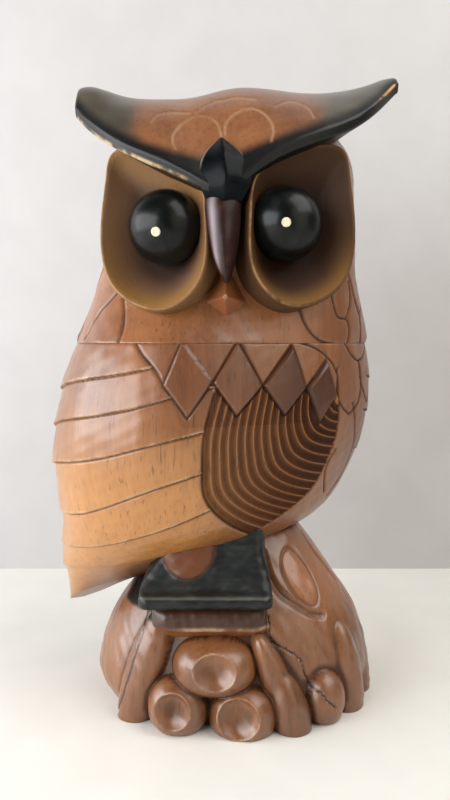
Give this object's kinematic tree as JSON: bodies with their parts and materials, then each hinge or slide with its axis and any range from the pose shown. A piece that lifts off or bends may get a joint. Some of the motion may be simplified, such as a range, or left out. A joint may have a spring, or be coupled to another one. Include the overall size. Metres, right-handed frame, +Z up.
{
  "type": "owl figurine",
  "caption": "Large carved wooden owl with spread ear tufts and dished face discs, perched on a carved rock and root base; free-standing on a flat underside.",
  "frame": {"origin": "middle of the flat underside of the base, under the head", "axes": "+Z up along the height, -Y the way the owl looks, +X towards the owl's left-hand side as it faces the viewer's right"},
  "size_m": [0.3431, 0.2636, 0.6061],
  "materials": {
    "stained_wood": "hand-carved wood, brown stain, worn satin lacquer",
    "rock_wood": "hand-carved wood, brown stain, worn satin lacquer",
    "feet_paint": "wood under worn black paint and gloss lacquer",
    "beak_paint": "wood under dark brown-black paint and gloss lacquer",
    "eye_gloss": "turned wood under thick black gloss paint",
    "pupil_cream": "cream painted peg",
    "bare_wood": "plain unfinished dowel"
  },
  "bodies": {
    "root": {"head_block": "stained_wood", "left_tuft_plank": "stained_wood", "right_tuft_plank": "stained_wood", "brow_boss": "feet_paint", "beak": "beak_paint", "left_eye": "eye_gloss", "right_eye": "eye_gloss", "left_pupil_peg": "pupil_cream", "right_pupil_peg": "pupil_cream", "torso_block": "stained_wood", "left_wing_plank": "stained_wood", "right_wing_plank": "stained_wood", "talon_perch": "feet_paint", "base_core": "rock_wood", "base_left_plank": "rock_wood", "base_right_plank": "rock_wood", "neck_dowels": "bare_wood", "leg_dowels": "bare_wood", "base_dowels": "bare_wood", "head_plank_dowels": "bare_wood", "wing_plank_dowels": "bare_wood"}
  },
  "joints": []
}
